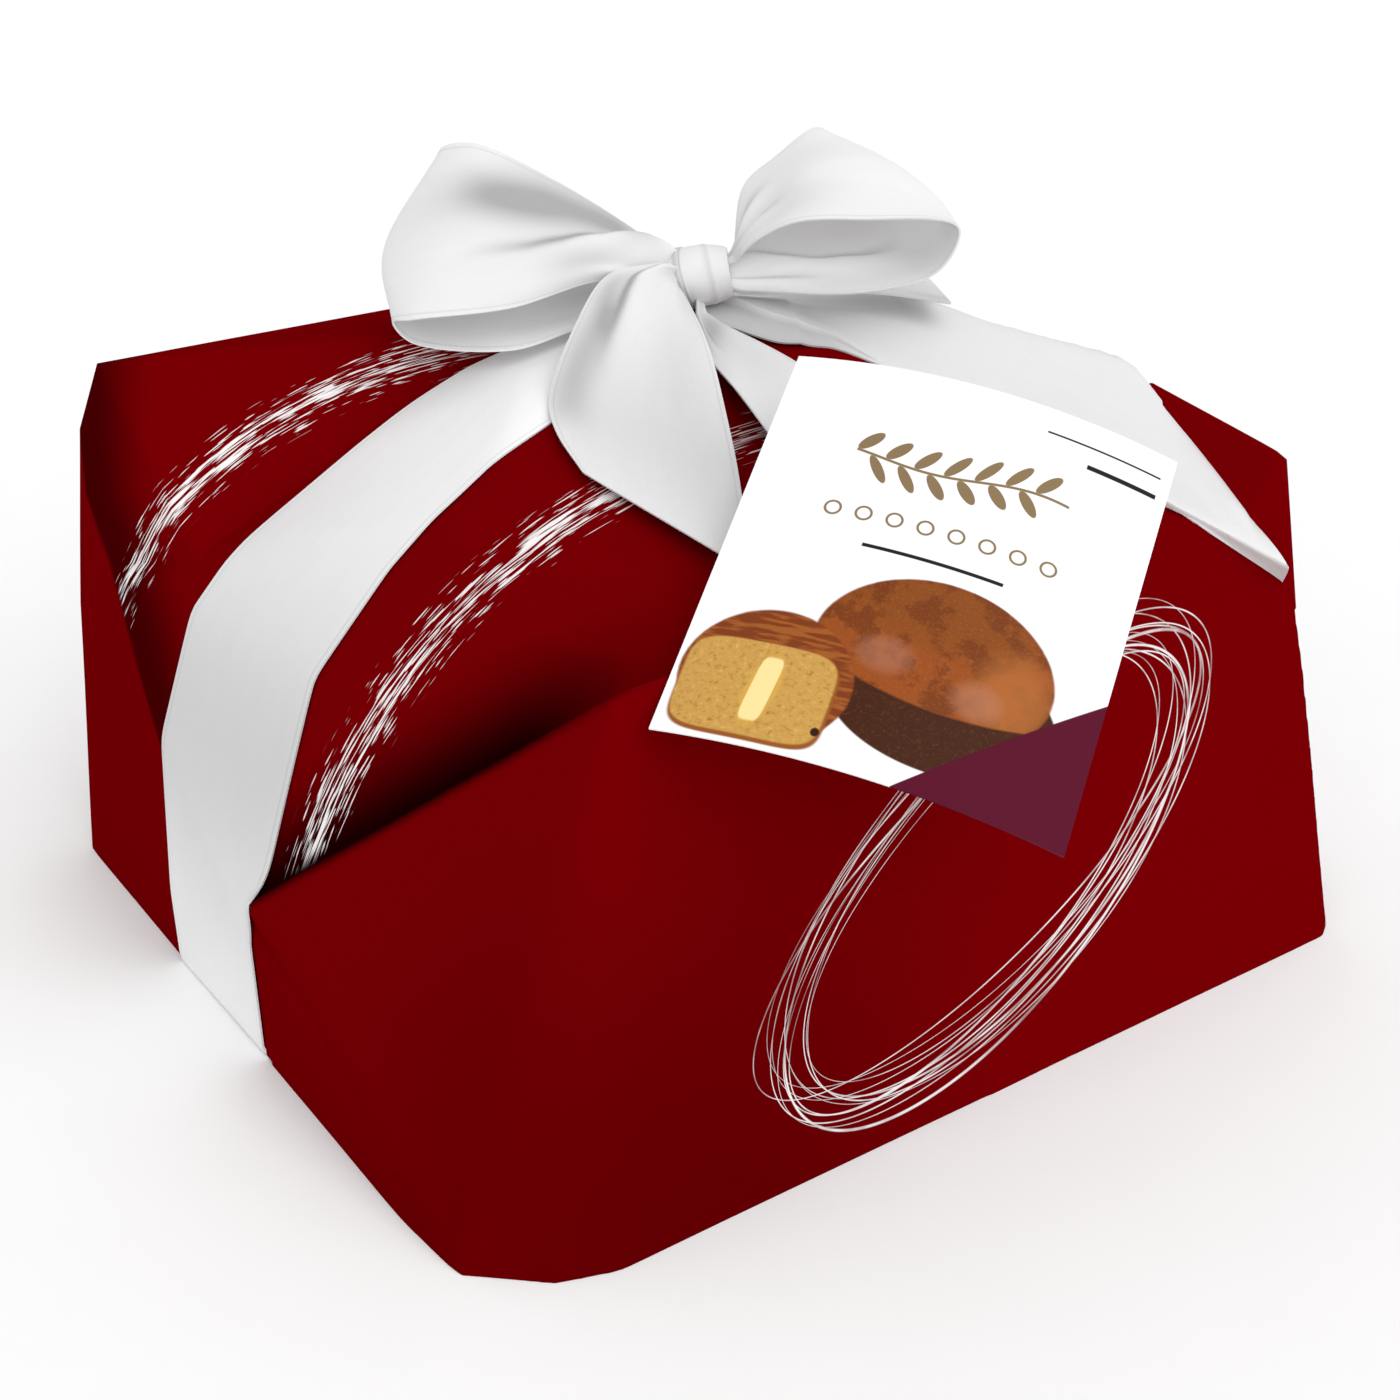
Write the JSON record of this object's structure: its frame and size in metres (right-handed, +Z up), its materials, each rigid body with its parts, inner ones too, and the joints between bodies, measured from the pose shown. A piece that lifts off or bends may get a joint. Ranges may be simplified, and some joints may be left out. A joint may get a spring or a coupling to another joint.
{
  "type": "gift-wrapped panettone pack",
  "caption": "Shut, hand-folded paper pack for a festive loaf, tied with a satin ribbon band and bow, with an arched printed card hung over its front",
  "frame": {"origin": "middle of the whole object's outline seen from above, on the surface that it stands on; the pack's own middle lies 17 mm behind it, because the card reaches out in front", "axes": "+Z up, +X along the pack's long side to the right, -Y the front face over which the card hangs"},
  "size_m": [0.2557, 0.2611, 0.1895],
  "materials": {
    "paper": "dark red coated gift paper with a white print",
    "ribbon": "white satin",
    "card": "white printed card"
  },
  "bodies": {
    "root": {"paper_pack": "paper", "ribbon_band": "ribbon", "bow_knot": "ribbon", "bow_loop_left": "ribbon", "bow_loop_right": "ribbon", "ribbon_tail_front": "ribbon", "ribbon_tail_side": "ribbon", "ribbon_tail_back": "ribbon", "card_tag": "card"}
  },
  "joints": []
}
